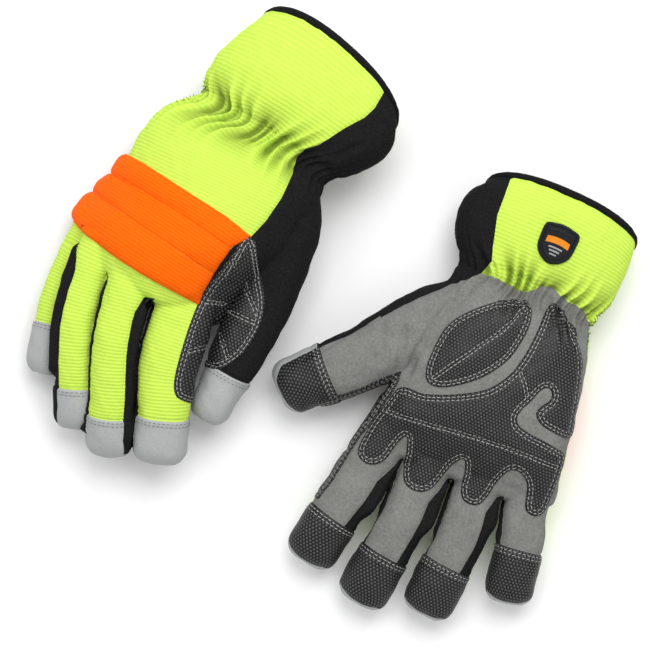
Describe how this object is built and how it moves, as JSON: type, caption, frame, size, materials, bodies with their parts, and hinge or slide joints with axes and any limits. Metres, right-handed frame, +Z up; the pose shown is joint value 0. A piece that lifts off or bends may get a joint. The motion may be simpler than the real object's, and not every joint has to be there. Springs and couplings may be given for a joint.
{
  "type": "pair of work gloves",
  "caption": "Padded winter work gloves with hi-vis ribbed backs, orange knuckle rolls, grey suede palms, embossed grip pads, reflective fingertips and flared elastic-waisted cuffs.",
  "frame": {"origin": "centre of the bounding box in plan, on the table top", "axes": "+Z up from the table, +Y up the table towards the cuffs, +X to the right, from the back-up glove to the palm-up glove"},
  "size_m": [0.3426, 0.342, 0.072],
  "materials": {
    "hi_vis_knit": "ribbed hi-vis yellow stretch knit",
    "padded_knit": "foam-backed orange rib knit",
    "fleece": "matt black fleece",
    "binding_tape": "matt black woven tape",
    "lining": "brushed pile",
    "suede": "matt synthetic suede",
    "embossed_grip": "dot-embossed synthetic leather",
    "reflective": "satin reflective cloth",
    "badge_rubber": "moulded, satin"
  },
  "bodies": {
    "glove1_hand": {"glove1_back_panel": "hi_vis_knit", "glove1_badge": "badge_rubber", "glove1_cuff": "hi_vis_knit", "glove1_cuff_binding": "binding_tape", "glove1_hand_liner": "lining", "glove1_knuckle_pad": "padded_knit", "glove1_palm_pad": "embossed_grip", "glove1_palm_panel": "suede", "glove1_side_gusset": "fleece", "glove1_thenar_pad": "embossed_grip"},
    "glove1_index": {"glove1_index_back": "hi_vis_knit", "glove1_index_front": "suede", "glove1_index_tip_cap": "reflective", "glove1_index_tip_grip": "embossed_grip"},
    "glove1_middle": {"glove1_middle_back": "hi_vis_knit", "glove1_middle_front": "suede", "glove1_middle_tip_cap": "reflective", "glove1_middle_tip_grip": "embossed_grip"},
    "glove1_ring": {"glove1_ring_back": "hi_vis_knit", "glove1_ring_front": "suede", "glove1_ring_tip_cap": "reflective", "glove1_ring_tip_grip": "embossed_grip"},
    "glove1_little": {"glove1_little_back": "hi_vis_knit", "glove1_little_front": "suede", "glove1_little_tip_cap": "reflective", "glove1_little_tip_grip": "embossed_grip"},
    "glove1_thumb": {"glove1_thumb_back": "fleece", "glove1_thumb_front": "suede", "glove1_thumb_tip_cap": "reflective", "glove1_thumb_tip_grip": "embossed_grip"},
    "glove2_hand": {"glove2_back_panel": "hi_vis_knit", "glove2_badge": "badge_rubber", "glove2_cuff": "hi_vis_knit", "glove2_cuff_binding": "binding_tape", "glove2_hand_liner": "lining", "glove2_knuckle_pad": "padded_knit", "glove2_palm_pad": "embossed_grip", "glove2_palm_panel": "suede", "glove2_side_gusset": "fleece", "glove2_thenar_pad": "embossed_grip"},
    "glove2_index": {"glove2_index_back": "hi_vis_knit", "glove2_index_front": "suede", "glove2_index_tip_cap": "reflective", "glove2_index_tip_grip": "embossed_grip"},
    "glove2_middle": {"glove2_middle_back": "hi_vis_knit", "glove2_middle_front": "suede", "glove2_middle_tip_cap": "reflective", "glove2_middle_tip_grip": "embossed_grip"},
    "glove2_ring": {"glove2_ring_back": "hi_vis_knit", "glove2_ring_front": "suede", "glove2_ring_tip_cap": "reflective", "glove2_ring_tip_grip": "embossed_grip"},
    "glove2_little": {"glove2_little_back": "hi_vis_knit", "glove2_little_front": "suede", "glove2_little_tip_cap": "reflective", "glove2_little_tip_grip": "embossed_grip"},
    "glove2_thumb": {"glove2_thumb_back": "fleece", "glove2_thumb_front": "suede", "glove2_thumb_tip_cap": "reflective", "glove2_thumb_tip_grip": "embossed_grip"}
  },
  "joints": [
    {"name": "glove1_index_flex", "type": "hinge", "parent": "glove1_hand", "child": "glove1_index", "pos_m": [-0.08603, -0.00961, 0.0413], "axis": [0.9702, -0.2396, 0.0348], "range_deg": [-12, 65]},
    {"name": "glove1_middle_flex", "type": "hinge", "parent": "glove1_hand", "child": "glove1_middle", "pos_m": [-0.11764, 0.00666, 0.0438], "axis": [0.9436, -0.2081, 0.2577], "range_deg": [-12, 65]},
    {"name": "glove1_ring_flex", "type": "hinge", "parent": "glove1_hand", "child": "glove1_ring", "pos_m": [-0.13652, 0.01835, 0.0348], "axis": [0.9328, -0.2224, 0.2836], "range_deg": [-12, 65]},
    {"name": "glove1_little_flex", "type": "hinge", "parent": "glove1_hand", "child": "glove1_little", "pos_m": [-0.14733, 0.02973, 0.0158], "axis": [0.8783, -0.3503, 0.3255], "range_deg": [-12, 65]},
    {"name": "glove1_thumb_flex", "type": "hinge", "parent": "glove1_hand", "child": "glove1_thumb", "pos_m": [-0.03763, 0.00935, 0.0283], "axis": [0.9036, -0.4284, 0], "range_deg": [-8, 40]},
    {"name": "glove2_index_flex", "type": "hinge", "parent": "glove2_hand", "child": "glove2_index", "pos_m": [0.02295, -0.08105, 0.0174], "axis": [-0.826, 0.5636, 0], "range_deg": [-12, 65]},
    {"name": "glove2_middle_flex", "type": "hinge", "parent": "glove2_hand", "child": "glove2_middle", "pos_m": [0.04899, -0.09264, 0.0174], "axis": [-0.8875, 0.4607, 0], "range_deg": [-12, 65]},
    {"name": "glove2_ring_flex", "type": "hinge", "parent": "glove2_hand", "child": "glove2_ring", "pos_m": [0.0768, -0.10393, 0.0174], "axis": [-0.923, 0.3849, 0], "range_deg": [-12, 65]},
    {"name": "glove2_little_flex", "type": "hinge", "parent": "glove2_hand", "child": "glove2_little", "pos_m": [0.10482, -0.10984, 0.0174], "axis": [-0.9879, 0.1553, 0], "range_deg": [-12, 65]},
    {"name": "glove2_thumb_flex", "type": "hinge", "parent": "glove2_hand", "child": "glove2_thumb", "pos_m": [0.01903, -0.02348, 0.0214], "axis": [-0.4126, 0.9109, 0], "range_deg": [-8, 40]},
    {"name": "glove2_lift", "type": "slide", "parent": "glove1_hand", "child": "glove2_hand", "axis": [0, 0, 1], "range_m": [0, 0.12]}
  ]
}
